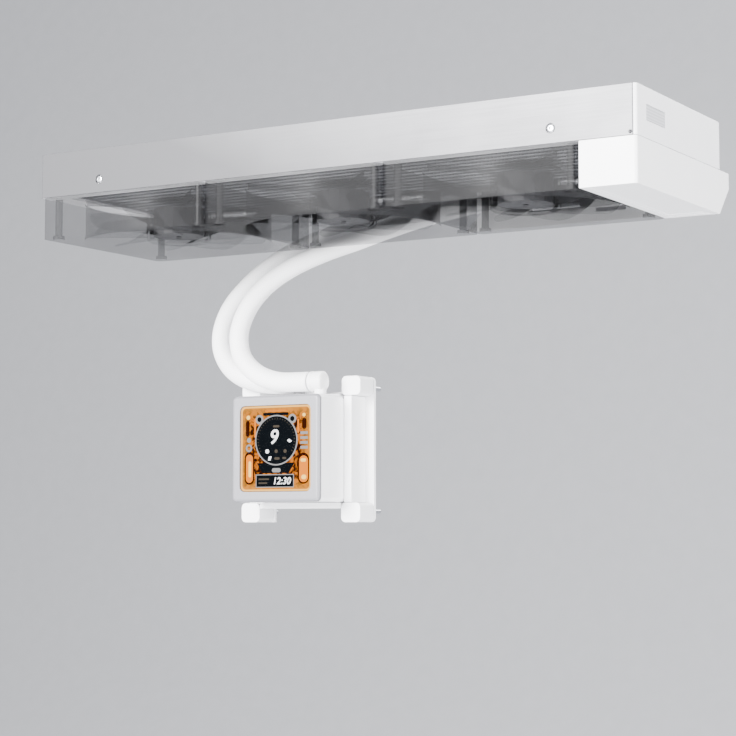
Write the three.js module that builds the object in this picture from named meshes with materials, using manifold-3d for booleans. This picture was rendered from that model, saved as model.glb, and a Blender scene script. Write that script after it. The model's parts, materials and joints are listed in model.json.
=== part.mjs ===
// Closed-loop liquid cooler: a 360 mm radiator with three fans under it, an end block that takes
// the hoses off the radiator, two sleeved hoses and a pump head with a square display.
// Millimetres, +Z up. The origin is the middle of the three fans on the radiator's top plane,
// where the case's roof holds it. The fans run along X and the display faces -Y.
import * as THREE from 'three';
import { mergeVertices } from 'three/addons/utils/BufferGeometryUtils.js';
import Module from 'manifold-3d';

// ---- driving dimensions ----------------------------------------------------------------------
const GAP = 0.3; // between touching pieces

const FAN_PITCH = 120; // fan centre to fan centre
const FAN_SIDE = 119.6; // outside of a fan frame
const FAN_DEPTH = 25;
const FAN_HOLE = 52.5; // fan centre to screw hole, so 105 mm between holes
const FAN_BORE_R = 57.6;
const BLADE_TIP_R = 56.2;
const FAN_HUB_R = 20;
const STRUT_WIDTH = 4;
const STRUT_DEPTH = 3;
const BLADES = 9;
const FAN_CENTRES = [-FAN_PITCH, 0, FAN_PITCH];

const RAD_LEFT = -180;
const RAD_RIGHT = 213;
const RAD_HALF = 60; // half the width
const RAD_DEPTH = 27;
const SHEET = 1.2; // folded sheet of the rails and the trim plate
const FLANGE = 8.1; // rail flange, measured in from the web's outside
const RAIL_END = 210.7; // rails and trim stop at the tank's end cap
const TRIM_SCREWS = [-136, 164]; // their X on the trim plate
const TRIM_SCREW_Z = -19;
const TRIM_DRAIN = [209.3, -25.3]; // (x, z) of the small hole at the trim's lower end
const PLUG_Y = -30; // fill plug on the left tank
const LABEL = { y: [-46.7, -21.3], z: [-17.2, -9.3] };
const CAP_RADIUS = 2; // upright corners of the tank's end cap and of the block
const TUBES = 12; // flat coolant tubes in the core

const PUMP_X = -71; // centre of the display
const PUMP_Z = -179.3;
const INNER_PORT = [-46.2, 48.6]; // (x, y) of the pump's two ports
const OUTER_PORT = [-61.6, 62];
const PORT_Z = -137.6; // middle of the elbows over the ports
const PORT_REACH = 17; // spigots, from there down into the pump
const FACE_Y = 35; // front of the display
const PLATE_Y = 93; // contact face of the cold plate
const COVER_W = 64.8;
const COVER_H = 66.4;
const COVER_RADIUS = 3;
const COVER_RISE = 2.2; // how much higher the cover's top is at its back
const SCREW_HALF = 39; // 78 mm square of processor screws
const SCREW_TRAVEL = 2;
const SCREWS = [[1, 1], [-1, 1], [-1, -1], [1, -1]].map(([sx, sz]) => [sx * SCREW_HALF, sz * SCREW_HALF]);
const WINDOW = [26.4, 26.9]; // half the bezel's window, across and up

const HOSE_R = 6.1;
const ELBOW_R = 6.3;
const NECK_R = 3.6; // fitting spigots, inside seals
const DOME = 1.8; // length of an elbow's rounded end

// Centre lines of the two hoses, chosen by hand: out of the block or tank, along behind the fans,
// down in one loop and back to the pump's elbows.
const INNER_HOSE = [
  [167.7, 67.4, -33.4], [150, 67.4, -33.4], [120, 67.4, -32.8], [90, 67.4, -32], [56, 67.4, -31.8],
  [20, 67.4, -36.6], [-8, 67.2, -42.6], [-30, 67, -48.2], [-55, 66.8, -54.2], [-79, 64.6, -63],
  [-96, 61, -74.2], [-106.4, 56.6, -88.4], [-109.8, 52, -105], [-104.6, 48.4, -120.4],
  [-92.8, 46.8, -131], [-78, 47.6, -136.6], [-53.9, 48.6, -137.6],
];
const OUTER_HOSE = [
  [177.7, 66.9, -14], [150, 67, -14.2], [110, 67.8, -15.4], [70, 69.8, -17.8], [35, 73, -22.2],
  [0, 76, -30], [-30, 76, -36.2], [-54, 75.6, -42.2], [-77, 75, -48.8], [-100, 73.2, -59.8],
  [-117, 71, -73], [-127.6, 68.2, -86], [-131.4, 64.4, -100], [-129.6, 61.2, -112],
  [-122.8, 58.4, -122.8], [-113.5, 57, -130.4], [-101.5, 57, -135.4], [-88, 60.8, -137.4],
  [-73.2, 62, -137.6],
];

// ---- solids ----------------------------------------------------------------------------------
const wasm = await Module();
wasm.setup();

// A closed geometry becomes a solid: shared vertices merged, slivers dropped, faces pointing out.
function solid(geometry) {
  const bare = new THREE.BufferGeometry();
  bare.setAttribute('position', geometry.attributes.position);
  if (geometry.index) bare.setIndex(geometry.index);
  const merged = mergeVertices(bare, 1e-4);
  const position = merged.attributes.position;
  const index = merged.index.array;
  const triangles = [];
  for (let i = 0; i < index.length; i += 3) {
    const [a, b, c] = index.slice(i, i + 3);
    if (a !== b && b !== c && c !== a) triangles.push([a, b, c]);
  }
  const at = (i) => new THREE.Vector3().fromBufferAttribute(position, i);
  const volume = triangles.reduce((sum, [a, b, c]) => sum + at(a).dot(at(b).cross(at(c))), 0);
  const outward = volume > 0 ? triangles : triangles.map(([a, b, c]) => [a, c, b]);
  return new wasm.Manifold(new wasm.Mesh({
    numProp: 3,
    vertProperties: Float32Array.from(position.array),
    triVerts: Uint32Array.from(outward.flat()),
  }));
}

function join(first, ...others) {
  return others.reduce((sum, next) => sum.add(next), first);
}

function cut(first, ...others) {
  return others.reduce((rest, next) => rest.subtract(next), first);
}

function slab([x0, x1], [y0, y1], [z0, z1]) {
  const box = new THREE.BoxGeometry(x1 - x0, y1 - y0, z1 - z0);
  return solid(box.translate((x0 + x1) / 2, (y0 + y1) / 2, (z0 + z1) / 2));
}

// An outline pushed along an axis. Its points are (y, z) for x, (x, z) for y and (x, y) for z.
function prism(axis, outline, from, to) {
  const points = outline.map(([u, v]) => new THREE.Vector2(...(axis === 'y' ? [v, u] : [u, v])));
  const straight = { depth: to - from, bevelEnabled: false };
  const geometry = new THREE.ExtrudeGeometry(new THREE.Shape(points), straight).translate(0, 0, from);
  const [x, y, z] = [[1, 0, 0], [0, 1, 0], [0, 0, 1]].map((way) => new THREE.Vector3(...way));
  const basis = { x: [y, z, x], y: [z, x, y], z: [x, y, z] };
  return solid(geometry.applyMatrix4(new THREE.Matrix4().makeBasis(...basis[axis])));
}

// A profile of (radius, height) points turned about an axis through a centre.
function turned(axis, profile, centre = [0, 0, 0], segments = 24) {
  const geometry = new THREE.LatheGeometry(profile.map(([r, h]) => new THREE.Vector2(r, h)), segments);
  if (axis === 'z') geometry.rotateX(Math.PI / 2);
  if (axis === 'x') geometry.rotateZ(-Math.PI / 2);
  return solid(geometry.translate(...centre));
}

function rod(axis, radius, from, to, centre, segments = 24) {
  return turned(axis, [[0, from], [radius, from], [radius, to], [0, to]], centre, segments);
}

// A ring with a square section, turned about an axis.
function ring(axis, inner, outer, from, to, centre, segments = 24) {
  const profile = [[inner, from], [outer, from], [outer, to], [inner, to], [inner, from]];
  return turned(axis, profile, centre, segments);
}

// A rectangle of the given half sizes with round corners, about a centre.
function roundedOutline(halfU, halfV, radius, [cu, cv] = [0, 0], steps = 4) {
  const points = [];
  const corners = [[1, 1, 0], [-1, 1, 1], [-1, -1, 2], [1, -1, 3]];
  for (const [su, sv, quarter] of corners) {
    for (let i = 0; i <= steps; i += 1) {
      const angle = (quarter + i / steps) * (Math.PI / 2);
      points.push([
        cu + su * (halfU - radius) + radius * Math.cos(angle),
        cv + sv * (halfV - radius) + radius * Math.sin(angle),
      ]);
    }
  }
  return points;
}

function roundedSlab(axis, halfU, halfV, radius, from, to, centre) {
  return prism(axis, roundedOutline(halfU, halfV, radius, centre), from, to);
}

// ---- scene graph -----------------------------------------------------------------------------
const cooler = new THREE.Group();

const FINISHES = {
  trim: [0xe2e2e6, 0.35, 0.3],
  white: [0xf2f2f4, 0.45, 0],
  enamel: [0xe9e9ec, 0.45, 0.2],
  fins: [0xc9cacd, 0.5, 0.6],
  smoke: [0x6e6e74, 0.3, 0],
  rotor: [0x77777c, 0.35, 0],
  steel: [0xb9babd, 0.35, 1],
  copper: [0xc47a4f, 0.3, 1],
  hose: [0xf4f4f5, 0.6, 0],
  dark: [0x1c1d20, 0.4, 0],
  glass: [0x101114, 0.08, 0],
  board: [0x1d5a38, 0.5, 0],
  rubber: [0x222222, 0.8, 0],
  bezel: [0xd2d2d6, 0.4, 0],
  label: [0xb4b5b9, 0.6, 0],
};

function addMesh(name, shape, finish, parent = cooler) {
  const { vertProperties, triVerts } = shape.getMesh();
  const geometry = new THREE.BufferGeometry();
  geometry.setAttribute('position', new THREE.BufferAttribute(Float32Array.from(vertProperties), 3));
  geometry.setIndex(Array.from(triVerts));
  geometry.computeVertexNormals();
  const [color, roughness, metalness] = FINISHES[finish];
  const mesh = new THREE.Mesh(geometry, new THREE.MeshStandardMaterial({ color, roughness, metalness }));
  mesh.name = name;
  parent.add(mesh);
}

// ---- radiator --------------------------------------------------------------------------------
const NEAR_WEB = -RAD_HALF + SHEET + GAP; // outside of the near rail, behind the trim plate
const CORE_NEAR = NEAR_WEB + SHEET + GAP;
const CORE_FAR = RAD_HALF - SHEET - GAP;
const CORE_TOP = -SHEET - GAP;
const CORE_BOTTOM = -RAD_DEPTH + SHEET + GAP;
const LEFT_TANK_END = RAD_LEFT + 14;
const RIGHT_TANK_START = 178;
const TANK_MID_HALF = 49.8; // between the rails' flanges, where a tank has its full depth
const TANK_WALL = 2.5;
const CHAMBER_TOP = CORE_TOP - TANK_WALL;
const CHAMBER_BOTTOM = CORE_BOTTOM + TANK_WALL;
const SPOUT_X = 196;
const SPOUT_Y = 16; // tank to manifold
const OUTER_FITTING_Z = -14; // hose fitting on the tank's far side
const OUTER_FITTING_X = 190;

function addRail(name, side) {
  const web = side < 0 ? NEAR_WEB : RAD_HALF;
  const span = (a, b) => [Math.min(side * a, side * b), Math.max(side * a, side * b)];
  const outside = Math.abs(web);
  const along = [RAD_LEFT, RAIL_END];
  let rail = slab(along, span(outside, outside - SHEET), [-RAD_DEPTH, 0]);
  for (const z of [[-SHEET, 0], [-RAD_DEPTH, -RAD_DEPTH + SHEET]]) {
    rail = rail.add(slab(along, span(outside, outside - FLANGE), z));
  }
  for (const centre of FAN_CENTRES) {
    for (const x of [centre - FAN_HOLE, centre + FAN_HOLE]) {
      rail = cut(rail, rod('z', 2, -RAD_DEPTH - 1, 1, [x, side * FAN_HOLE, 0], 8));
    }
  }
  const webHoles = side > 0
    ? [rod('y', NECK_R + 1.4, 50, 70, [OUTER_FITTING_X, 0, OUTER_FITTING_Z], 16)]
    : [...TRIM_SCREWS.map((x) => rod('y', 1.5, -70, -50, [x, 0, TRIM_SCREW_Z], 12)), drainHole(1.2)];
  addMesh(name, cut(rail, ...webHoles), 'enamel');
}

function drainHole(radius) {
  const [x, z] = TRIM_DRAIN;
  return rod('y', radius, -70, -50, [x, 0, z], 12);
}

function addTrimPlate() {
  const plate = slab([RAD_LEFT, RAIL_END], [-RAD_HALF, -RAD_HALF + SHEET], [-RAD_DEPTH, 0]);
  const screwHoles = TRIM_SCREWS.map((x) => rod('y', 2.6, -70, -50, [x, 0, TRIM_SCREW_Z], 16));
  addMesh('trim_plate', cut(plate, ...screwHoles, drainHole(0.9)), 'trim');
  TRIM_SCREWS.forEach((x, i) => {
    const profile = [[0, 1.4], [1.2, 1.4], [1.2, -GAP], [2.3, -GAP], [2, -1.1], [0, -1.3]];
    addMesh(`trim_screw_${i + 1}`, turned('y', profile, [x, -RAD_HALF + 1.3, TRIM_SCREW_Z], 12), 'steel');
  });
}

// A header tank: full depth between the rails' flanges, thinner under them.
function tankBody(x) {
  return join(
    slab(x, [CORE_NEAR, CORE_FAR], [CORE_BOTTOM, CORE_TOP]),
    slab(x, [-TANK_MID_HALF, TANK_MID_HALF], [-RAD_DEPTH, 0]),
  );
}

function addLeftTank() {
  const end = RAD_LEFT + 1.2;
  const acrossInside = [CORE_NEAR + 3, CORE_FAR - 3];
  const chamber = slab([end + TANK_WALL, LEFT_TANK_END + 1], acrossInside, [CHAMBER_BOTTOM, CHAMBER_TOP]);
  const place = [0, PLUG_Y, -RAD_DEPTH / 2];
  const plugHole = rod('x', 3.3, RAD_LEFT - 1, end + TANK_WALL + 1, place, 16);
  addMesh('left_tank', cut(tankBody([end, LEFT_TANK_END]), chamber, plugHole), 'enamel');
  const plug = join(
    rod('x', 4.6, RAD_LEFT, end - GAP, place, 20),
    rod('x', 3, RAD_LEFT, end + TANK_WALL, place, 16),
  );
  const hexRecess = rod('x', 2, RAD_LEFT - 1, RAD_LEFT + 2, place, 6);
  addMesh('fill_plug', cut(plug, hexRecess), 'steel');
}

// Rounds the two upright corners at the right-hand end by meeting the plan outline.
function withRoundEnd(shape, left, halfY, centreY) {
  const halfX = (RAD_RIGHT - left) / 2 + 10;
  const plan = roundedOutline(halfX, halfY, CAP_RADIUS, [RAD_RIGHT - halfX, centreY]);
  return shape.intersect(prism('z', plan, -80, 20));
}

function addRightTank() {
  const capLeft = RAIL_END + GAP;
  const cap = withRoundEnd(
    slab([capLeft, RAD_RIGHT], [-RAD_HALF, RAD_HALF], [-RAD_DEPTH, 0]), capLeft, RAD_HALF, 0);
  const chamberX = [RIGHT_TANK_START - 1, capLeft - TANK_WALL];
  const chambers = [[CORE_NEAR + 3, 22], [26, CORE_FAR - 3]].map(
    (y) => slab(chamberX, y, [CHAMBER_BOTTOM, CHAMBER_TOP]));
  const spout = rod('z', NECK_R, -RAD_DEPTH - 1, CHAMBER_BOTTOM + 1, [SPOUT_X, SPOUT_Y, 0], 16);
  const fitting = [OUTER_FITTING_X, 0, OUTER_FITTING_Z];
  const fittingHole = rod('y', NECK_R + 0.4, CORE_FAR - 4, CORE_FAR + 1, fitting, 16);
  const grown = ([low, high]) => [low - GAP, high + GAP];
  const labelPocket = slab([RAD_RIGHT - 0.8, RAD_RIGHT + 1], grown(LABEL.y), grown(LABEL.z));
  const body = join(tankBody([RIGHT_TANK_START, capLeft + 0.5]), cap);
  addMesh('right_tank', cut(body, ...chambers, spout, fittingHole, labelPocket), 'enamel');
  addMesh('end_label', slab([RAD_RIGHT - 0.5, RAD_RIGHT - 0.2], LABEL.y, LABEL.z), 'label');
}

// Brazed core: two headers, the flat tubes between them and the fin packs in every space.
function addCore() {
  const x = [LEFT_TANK_END + GAP, RIGHT_TANK_START - GAP];
  const headers = [[x[0], x[0] + 2], [x[1] - 2, x[1]]].map(
    (header) => slab(header, [CORE_NEAR, CORE_FAR], [CORE_BOTTOM, CORE_TOP]));
  const fins = slab([x[0] + 1, x[1] - 1], [CORE_NEAR, CORE_FAR], [CORE_BOTTOM + 2, CORE_TOP - 2]);
  const pitch = (CORE_FAR - CORE_NEAR) / (TUBES + 1);
  const tubes = Array.from({ length: TUBES }, (_, i) => {
    const y = CORE_NEAR + pitch * (i + 1);
    return slab([x[0] + 1, x[1] - 1], [y - 1, y + 1], [CORE_BOTTOM + 1, CORE_TOP - 1]);
  });
  addMesh('fin_core', join(fins, ...tubes, ...headers), 'fins');
}

// ---- end block and hose cover ----------------------------------------------------------------
const UNDER_TOP = -RAD_DEPTH - GAP; // top of everything that hangs under the radiator
const UNDER_BOTTOM = UNDER_TOP - FAN_DEPTH;
const BLOCK_LEFT = 180.3;
const BLOCK_FAR = 74.3;
const BLOCK_CORNER = 58; // far edge of its underside, where the chamfer starts
const BLOCK_WALL = 1.4;
const BLOCK_NECK_R = 2.6; // the lower hose's fitting is slimmer, to pass inside the block's far wall
const CHAMFER_RISE = 17.7; // from there up to the far wall
const INNER_FITTING = [67.4, -33.4]; // (y, z) of the lower hose at the block

const blockSection = (inset) => [
  [-RAD_HALF + inset, UNDER_TOP],
  [-RAD_HALF + inset, UNDER_BOTTOM + inset],
  [BLOCK_CORNER - inset * 0.5, UNDER_BOTTOM + inset],
  [BLOCK_FAR - inset, UNDER_BOTTOM + CHAMFER_RISE + inset * 0.5],
  [BLOCK_FAR - inset, UNDER_TOP],
];

function addEndBlock() {
  const outer = withRoundEnd(
    prism('x', blockSection(0), BLOCK_LEFT, RAD_RIGHT), BLOCK_LEFT, (BLOCK_FAR + RAD_HALF) / 2,
    (BLOCK_FAR - RAD_HALF) / 2);
  const insideX = [BLOCK_LEFT + BLOCK_WALL, RAD_RIGHT - BLOCK_WALL];
  const lid = slab(insideX, [RAD_HALF - 1, BLOCK_FAR], [UNDER_TOP - BLOCK_WALL, UNDER_TOP + 1]);
  const inner = cut(prism('x', blockSection(BLOCK_WALL), ...insideX), lid);
  const [y, z] = INNER_FITTING;
  const fittingHole = rod('x', BLOCK_NECK_R + GAP, BLOCK_LEFT - 1, BLOCK_LEFT + 3, [0, y, z], 16);
  addMesh('end_block', cut(outer, inner, fittingHole), 'white');

  const top = UNDER_TOP - BLOCK_WALL - GAP;
  const manifold = slab([184, 206], [6, y + 1.6], [z - 4, top]);
  const seat = rod('z', 6.4, top - 1, UNDER_TOP, [SPOUT_X, SPOUT_Y, 0], 16);
  const riser = rod('z', NECK_R, z, UNDER_TOP, [SPOUT_X, SPOUT_Y, 0], 16);
  const gallery = rod('y', BLOCK_NECK_R, SPOUT_Y, y + 0.5, [SPOUT_X, 0, z], 16);
  const outlet = rod('x', BLOCK_NECK_R + GAP, 183, SPOUT_X, [0, y, z], 16);
  addMesh('hose_manifold', cut(manifold, seat, riser, gallery, outlet), 'dark');
  const seal = ring('z', NECK_R + 0.6, 6.1, top - 0.7, UNDER_TOP, [SPOUT_X, SPOUT_Y, 0], 20);
  addMesh('manifold_seal', seal, 'rubber');
}

// V-shaped cover that carries the block's section on behind the fans, cut off at 45 degrees.
function addHoseCover() {
  const near = RAD_HALF + 0.1;
  const wall = 0.9;
  const low = UNDER_BOTTOM + 2;
  const [farLip, lipTop] = [70.35, -40.4];
  const section = [
    [near, UNDER_TOP], [near, low], [near + 0.2, low], [farLip, lipTop], [farLip - 1.3, lipTop],
    [near + wall, low + 2.2], [near + wall, UNDER_TOP],
  ];
  const left = 48;
  const body = prism('x', section, left, BLOCK_LEFT - GAP);
  const diagonal = prism('y', [
    [left - 1, UNDER_BOTTOM + 1], [left - 1, UNDER_TOP + 1], [left + FAN_DEPTH + 1, UNDER_TOP + 1],
    [left, UNDER_BOTTOM],
  ], near - 5, farLip + 5);
  const vents = [[95, 126, -39.4], [136, 155, -43.2]].map(
    ([x0, x1, z]) => slab([x0, x1], [near - 1, near + wall + 0.4], [z - 1.4, z + 1.4]));
  addMesh('hose_cover', cut(body, diagonal, ...vents), 'white');
}

// ---- fans ------------------------------------------------------------------------------------
function fanFrame() {
  const side = FAN_SIDE / 2;
  const frame = roundedSlab('z', side, side, 4, UNDER_BOTTOM, UNDER_TOP);
  const bore = rod('z', FAN_BORE_R, UNDER_BOTTOM - 1, UNDER_TOP + 1, [0, 0, 0], 40);
  const holes = [[1, 1], [-1, 1], [-1, -1], [1, -1]].map(
    ([sx, sy]) => rod('z', 2.2, UNDER_BOTTOM - 1, UNDER_TOP + 1, [sx * FAN_HOLE, sy * FAN_HOLE, 0], 8));
  const base = rod('z', FAN_HUB_R, UNDER_TOP - STRUT_DEPTH, UNDER_TOP, [0, 0, 0], 24);
  const struts = [45, 135].map((angle) => {
    const bar = new THREE.BoxGeometry(2 * FAN_BORE_R + 4, STRUT_WIDTH, STRUT_DEPTH);
    bar.translate(0, 0, UNDER_TOP - STRUT_DEPTH / 2);
    return solid(bar.rotateZ(THREE.MathUtils.degToRad(angle)));
  });
  const bearingSeat = rod('z', 3, UNDER_TOP - 4, UNDER_TOP - 1, [0, 0, 0], 12);
  return cut(join(cut(frame, bore, ...holes), base, ...struts), bearingSeat);
}

const ROTOR_BOTTOM = UNDER_BOTTOM + 0.8;
const ROTOR_TOP = UNDER_TOP - 4.6;

function fanRotor() {
  const wall = 1.8;
  const hub = turned('z', [
    [0, ROTOR_BOTTOM], [FAN_HUB_R - 2, ROTOR_BOTTOM], [FAN_HUB_R, ROTOR_BOTTOM + 2], [FAN_HUB_R, ROTOR_TOP],
    [FAN_HUB_R - wall, ROTOR_TOP], [FAN_HUB_R - wall, ROTOR_BOTTOM + 2.4], [1.5, ROTOR_BOTTOM + 2.4],
    [1.5, UNDER_TOP - 2], [0, UNDER_TOP - 2],
  ], [0, 0, 0], 24);
  const chord = 13; // half of it
  const pitch = THREE.MathUtils.degToRad(33);
  const blade = { depth: BLADE_TIP_R - FAN_HUB_R + 3, bevelEnabled: false };
  const arc = [[-chord, -0.6], [0, 2.6], [chord, -0.6]];
  const section = [...arc, ...[...arc].reverse().map(([u, v]) => [u * 0.98, v - 1.5])];
  const blades = Array.from({ length: BLADES }, (_, i) => {
    const shape = new THREE.Shape(section.map(([u, v]) => new THREE.Vector2(u, v)));
    const geometry = new THREE.ExtrudeGeometry(shape, blade);
    geometry.rotateZ(pitch).translate(0, 0, FAN_HUB_R - 1);
    geometry.rotateX(Math.PI / 2).rotateZ((i / BLADES) * 2 * Math.PI);
    return solid(geometry.translate(0, 0, (ROTOR_BOTTOM + ROTOR_TOP) / 2 - 1));
  });
  const sweep = [ROTOR_BOTTOM + 1.2, ROTOR_TOP - 1];
  const envelope = ring('z', FAN_HUB_R - 1, BLADE_TIP_R, ...sweep, [0, 0, 0], 40);
  return join(hub, join(...blades).intersect(envelope));
}

function addFans() {
  const frame = fanFrame();
  const rotor = fanRotor();
  const motor = ring('z', 1.9, 15.8, ROTOR_BOTTOM + 4, UNDER_TOP - STRUT_DEPTH - GAP, [0, 0, 0], 16);
  FAN_CENTRES.forEach((x, i) => {
    const fan = new THREE.Group();
    fan.position.set(x, 0, 0);
    cooler.add(fan);
    addMesh(`fan_frame_${i + 1}`, frame, 'smoke', fan);
    addMesh(`fan_motor_${i + 1}`, motor, 'copper', fan);
    addMesh(`fan_rotor_${i + 1}`, rotor, 'rotor', fan);
  });
}

// ---- hoses and fittings ----------------------------------------------------------------------
function addHose(name, points) {
  const path = new THREE.CatmullRomCurve3(points.map((p) => new THREE.Vector3(...p)));
  const section = Array.from({ length: 12 }, (_, i) => {
    const angle = (i / 12) * 2 * Math.PI;
    return new THREE.Vector2(HOSE_R * Math.cos(angle), HOSE_R * Math.sin(angle));
  });
  const geometry = new THREE.ExtrudeGeometry(new THREE.Shape(section), { steps: 28, extrudePath: path });
  addMesh(name, solid(geometry), 'hose');
}

// A barrel along X with a rounded end, and a spigot from its axis: down, or else towards the display.
function elbow([open, end], [y, z], spigotX, way, reach) {
  const dome = new THREE.SphereGeometry(ELBOW_R, 16, 8).rotateZ(-Math.PI / 2);
  dome.scale(DOME / ELBOW_R, 1, 1).translate(end - DOME, y, z);
  const barrel = join(rod('x', ELBOW_R, open, end - DOME, [0, y, z], 16), solid(dome));
  const spigot = way === 'down'
    ? rod('z', NECK_R, z - reach, z, [spigotX, y, 0], 12)
    : rod('y', NECK_R, y - reach, y, [spigotX, 0, z], 12);
  return join(barrel, spigot);
}

function addFittings() {
  const [y, z] = INNER_FITTING;
  const blockFitting = turned('x', [
    [0, 168], [HOSE_R, 168], [HOSE_R, 178], [5, BLOCK_LEFT - GAP], [BLOCK_NECK_R, BLOCK_LEFT - GAP],
    [BLOCK_NECK_R, 188], [0, 188],
  ], [0, y, z], 20);
  addMesh('block_fitting', blockFitting, 'white');
  const tankElbow = elbow([178, 194.6], [OUTER_HOSE[0][1], OUTER_FITTING_Z], OUTER_FITTING_X, 'near', 10);
  addMesh('tank_elbow', tankElbow, 'white');
  const ports = { inner_elbow: [INNER_PORT, [-53.1, -42.3]], outer_elbow: [OUTER_PORT, [-72.3, -57.6]] };
  for (const [name, [port, along]] of Object.entries(ports)) {
    addMesh(name, elbow(along, [port[1], PORT_Z], port[0], 'down', PORT_REACH), 'white');
  }
}

// ---- pump head -------------------------------------------------------------------------------
const pump = new THREE.Group();
pump.position.set(PUMP_X, 0, PUMP_Z);
cooler.add(pump);

function addPumpMesh(name, shape, finish) {
  addMesh(name, shape, finish, pump);
}

function addDisplay() {
  const bezel = roundedSlab('y', COVER_W / 2, COVER_H / 2, COVER_RADIUS, FACE_Y, FACE_Y + 2.7);
  const inWindow = (gap, from, to) => roundedSlab(
    'y', WINDOW[0] - gap, WINDOW[1] - gap, 3.5 - gap, FACE_Y + from, FACE_Y + to);
  addPumpMesh('display_bezel', cut(bezel, inWindow(0, -1, 4)), 'bezel');
  addPumpMesh('display_glass', inWindow(0.3, 0.1, 0.7), 'glass');
  addPumpMesh('display_panel', inWindow(0.4, 1.1, 3.8), 'dark');
  addPumpMesh('display_board', slab([-28, 28], [FACE_Y + 4.2, FACE_Y + 5.6], [-28, 28]), 'board');
}

function portHoles(radius, from, to) {
  return [INNER_PORT, OUTER_PORT].map(([x, y]) => rod('z', radius, from, to, [x - PUMP_X, y, 0], 16));
}

function addPumpCover() {
  const front = FACE_Y + 3;
  const wall = 1.8;
  const back = 77.7;
  const straight = roundedSlab('y', COVER_W / 2, COVER_H / 2, COVER_RADIUS, front, back);
  const top = COVER_H / 2;
  const rise = [[front, top - 1], [back, top - 1], [back, top + COVER_RISE], [front, top]];
  const shell = straight.add(prism('x', rise, COVER_RADIUS - COVER_W / 2, COVER_W / 2 - COVER_RADIUS));
  const [halfX, halfZ] = [COVER_W / 2 - wall, COVER_H / 2 - wall];
  const inside = roundedSlab('y', halfX, halfZ, COVER_RADIUS - wall, front - 1, 79);
  addPumpMesh('pump_cover', cut(shell, inside, ...portHoles(NECK_R + 0.5, 25, 40)), 'white');
}

const CAN_R = 10.2; // outside of the thin can between the stator and the wet rotor

function addPumpWorks() {
  const front = 41.2;
  const back = 78;
  const block = slab([-30, 30], [front, back], [-29, 29]);
  const chamber = rod('y', 17, 65, back + 1, [0, 0, 0], 32);
  const well = rod('y', CAN_R - 1.4, 46, 66, [0, 0, 0], 20);
  const statorSpace = ring('y', CAN_R, 17, front - 1, 60, [0, 0, 0], 24);
  const ports = portHoles(NECK_R + 0.4, 24, 30);
  addPumpMesh('pump_body', cut(block, chamber, well, statorSpace, ...ports), 'dark');
  addPumpMesh('stator_coil', ring('y', CAN_R + 0.4, 16.4, 44, 59, [0, 0, 0], 20), 'copper');
  addPumpMesh('impeller_shaft', rod('y', 1.5, 46.3, 77.5, [0, 0, 0], 12), 'steel');
  const magnet = turned('y', [
    [1.8, 48], [8.2, 48], [8.2, 66], [15.4, 66], [15.4, 68], [1.8, 68], [1.8, 48],
  ], [0, 0, 0], 24);
  const vanes = Array.from({ length: 6 }, (_, i) => {
    const vane = new THREE.BoxGeometry(11, 6.5, 1.4).translate(9.4, 70.8, 0);
    return solid(vane.rotateY((i / 6) * 2 * Math.PI));
  });
  addPumpMesh('impeller', join(magnet, ...vanes), 'white');
  const volute = slab([-30, 30], [back + GAP, back + GAP + 2], [-29, 29]);
  addPumpMesh('volute_plate', cut(volute, rod('y', 6, 70, 90, [0, 0, 0], 20)), 'dark');
  const boss = slab([-27, 27], [back + 2 * GAP + 2, PLATE_Y - 2.5], [-27, 27]);
  const channels = Array.from({ length: 9 }, (_, i) => {
    const x = -20 + i * 5;
    return slab([x - 0.8, x + 0.8], [70, 83.5], [-20, 20]);
  });
  const contact = roundedSlab('y', 24, 24, 3, PLATE_Y - 4, PLATE_Y);
  addPumpMesh('cold_plate', cut(join(boss, contact), ...channels), 'copper');
}

const BAR_FRONT = 64; // near faces of the bracket's bars and of the screw caps
const BRACKET_FRONT = 80.9;
const BRACKET_WAIST = COVER_H / 2 + 3.8; // half its height between the ears
const CAP = { u: [30.6, 44.4], v: [COVER_H / 2 + GAP, COVER_H / 2 + GAP + 12.2] };

function addBracket() {
  const inX = COVER_W / 2 + 0.4;
  const bars = [
    slab([inX, inX + 5.3], [BAR_FRONT, BRACKET_FRONT + 1], [-33.2, 33.2]),
    slab([-inX - 5.3, -inX], [BAR_FRONT, BRACKET_FRONT + 1], [-33.2, 33.2]),
    slab([-30.2, 30.2], [BAR_FRONT, BRACKET_FRONT + 1], [-BRACKET_WAIST, -COVER_H / 2 - GAP]),
  ];
  const plate = roundedSlab('y', CAP.u[1], CAP.v[1], 3, BRACKET_FRONT, BRACKET_FRONT + 2.4);
  const betweenEars = [-1, 1].map((side) => slab(
    [-30.2, 30.2], [60, 100], side < 0 ? [-CAP.v[1] - 1, -BRACKET_WAIST] : [BRACKET_WAIST, CAP.v[1] + 1]));
  const window = slab([-27.3, 27.3], [60, 100], [-27.3, 27.3]);
  const holes = SCREWS.map(([x, z]) => rod('y', 2.2, 60, 100, [x, 0, z], 12));
  addPumpMesh('mount_bracket', cut(join(plate, ...bars), window, ...betweenEars, ...holes), 'white');
}

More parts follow.
